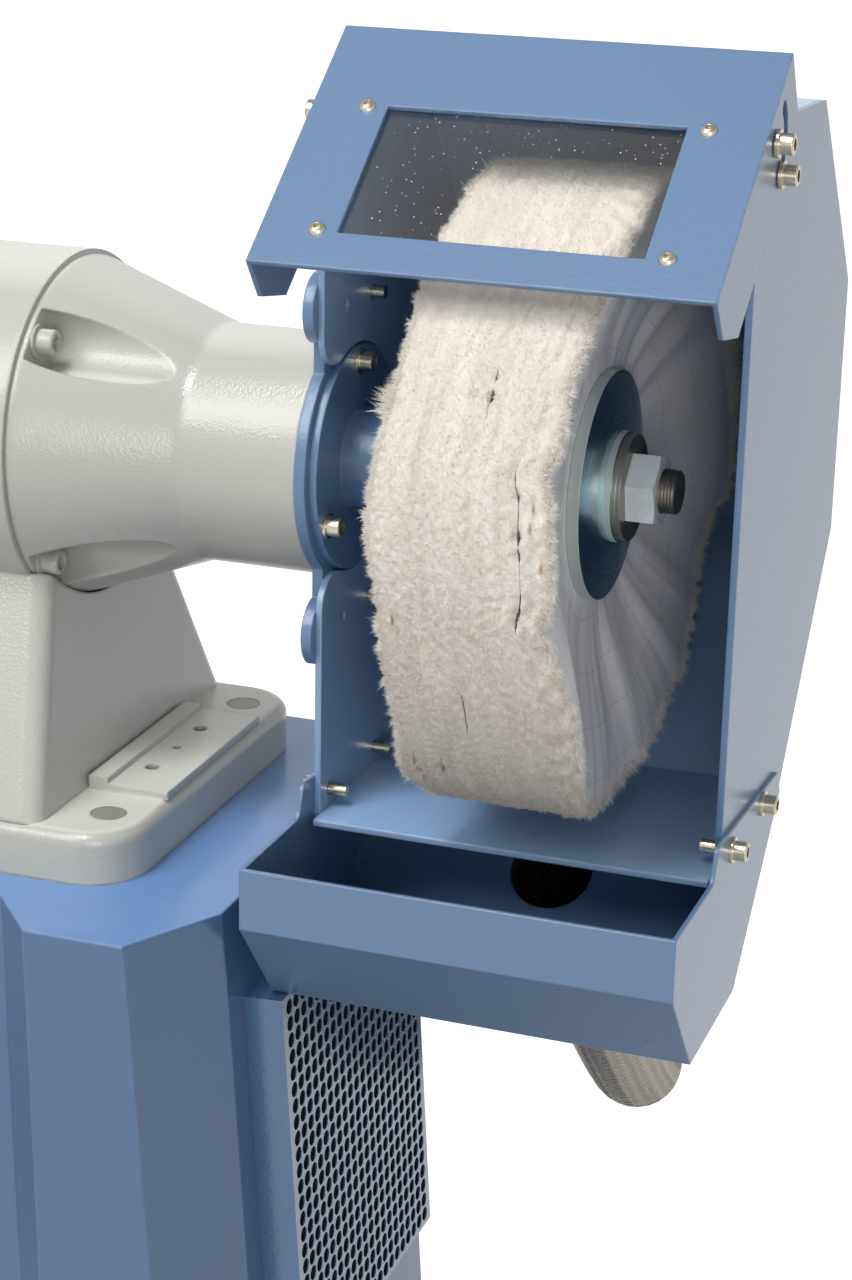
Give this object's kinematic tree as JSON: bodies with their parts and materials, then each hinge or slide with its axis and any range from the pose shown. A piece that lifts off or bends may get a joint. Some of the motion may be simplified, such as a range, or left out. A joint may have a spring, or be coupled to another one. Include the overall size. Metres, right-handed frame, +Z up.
{
  "type": "polishing machine",
  "caption": "Double-ended pedestal polishing machine: motor with a buff on each spindle end, under dust hoods with tilting visors, dust trays and ducts to a fan in the pedestal.",
  "frame": {"origin": "on the floor under the middle of the spindle", "axes": "+X along the spindle to the operator's right, +Y from the operator to the back, +Z up"},
  "size_m": [0.8598, 0.5549, 1.1944],
  "materials": {
    "motor_paint": "finely structured light grey paint on cast metal",
    "blue_paint": "structured blue powder coat on sheet steel",
    "blue_gloss": "smooth glossy blue powder coat",
    "ground_steel": "ground bare steel",
    "bright_screw": "yellowish zinc-plated steel",
    "zinc_flange": "turned and bright zinc-plated steel",
    "zinc_nut": "bright zinc-plated steel",
    "washer_steel": "dark plain steel",
    "shaft_steel": "turned steel",
    "cotton": "unbleached cotton cloth with a frayed rim",
    "duct_aluminium": "spiral-wound aluminium strip",
    "clear_pane": "clear polycarbonate",
    "core_steel": "stacked electrical steel",
    "copper": "varnished copper wire",
    "rotor_iron": "turned rotor stack",
    "bearing_steel": "ground bearing steel",
    "black_mat": "black filter mat",
    "fan_steel": "dark grey paint",
    "fan_aluminium": "plain sheet",
    "grey_plastic": "moulded, fine grain",
    "green_plastic": "moulded",
    "red_plastic": "moulded",
    "black_plastic": "moulded"
  },
  "bodies": {
    "frame": {"motor_housing": "motor_paint", "foot_bolts": "ground_steel", "bell_screws": "motor_paint", "stator_core": "core_steel", "stator_windings": "copper", "bearings": "bearing_steel", "bracket_bolts": "bright_screw", "guard_screws": "bright_screw", "visor_screws": "bright_screw", "tray_screws": "bright_screw", "tray_collars": "duct_aluminium", "rear_collars": "duct_aluminium", "pedestal_column": "blue_gloss", "base_plate": "blue_gloss", "rear_panel": "blue_gloss", "panel_screws": "bright_screw", "exhaust_cover": "blue_gloss", "exhaust_mat": "black_mat", "fan_shelf": "blue_gloss", "fan_housing": "fan_steel", "fan_motor": "fan_steel", "switch_box": "grey_plastic", "cable_gland": "black_plastic", "end_bell_right": "motor_paint", "end_bell_left": "motor_paint", "hood_bracket_right": "blue_paint", "hood_bracket_left": "blue_paint", "shaft_guard_right": "blue_paint", "shaft_guard_left": "blue_paint", "hood_inner_wall_right": "blue_paint", "hood_inner_wall_left": "blue_paint", "hood_outer_wall_right": "blue_paint", "hood_outer_wall_left": "blue_paint", "hood_wrapper_right": "blue_paint", "hood_wrapper_left": "blue_paint", "tray_right": "blue_paint", "tray_left": "blue_paint", "duct_right": "duct_aluminium", "duct_left": "duct_aluminium"},
    "spindle": {"spindle_shaft": "shaft_steel", "rotor": "rotor_iron", "spindle_washers": "washer_steel", "spindle_nuts": "zinc_nut", "inner_flange_right": "zinc_flange", "inner_flange_left": "zinc_flange", "buff_right": "cotton", "buff_left": "cotton", "outer_flange_right": "zinc_flange", "outer_flange_left": "zinc_flange"},
    "visor_right": {"visor_right": "blue_paint", "visor_window_right": "clear_pane", "window_screws_right": "bright_screw"},
    "visor_left": {"visor_left": "blue_paint", "visor_window_left": "clear_pane", "window_screws_left": "bright_screw"},
    "start_button": {"start_button": "green_plastic"},
    "stop_button": {"stop_button": "red_plastic"},
    "fan_impeller": {"fan_impeller": "fan_aluminium"}
  },
  "joints": [
    {"name": "spindle_spin", "type": "hinge", "parent": "frame", "child": "spindle", "pos_m": [0, 0, 1], "axis": [1, 0, 0], "continuous": true},
    {"name": "fan_spin", "type": "hinge", "parent": "frame", "child": "fan_impeller", "pos_m": [0.03, 0, 0.56], "axis": [0, 1, 0], "continuous": true},
    {"name": "visor_right_tilt", "type": "hinge", "parent": "frame", "child": "visor_right", "pos_m": [0.3226, -0.02751, 1.16052], "axis": [-1, 0, 0], "range_deg": [0, 40]},
    {"name": "visor_left_tilt", "type": "hinge", "parent": "frame", "child": "visor_left", "pos_m": [-0.3226, -0.02751, 1.16052], "axis": [-1, 0, 0], "range_deg": [0, 40]},
    {"name": "start_press", "type": "slide", "parent": "frame", "child": "start_button", "axis": [0, 1, 0], "range_m": [0, 0.003], "stiffness_N_per_m": 600, "springref_m": -0.002},
    {"name": "stop_press", "type": "slide", "parent": "frame", "child": "stop_button", "axis": [0, 1, 0], "range_m": [0, 0.003], "stiffness_N_per_m": 600, "springref_m": -0.002}
  ]
}
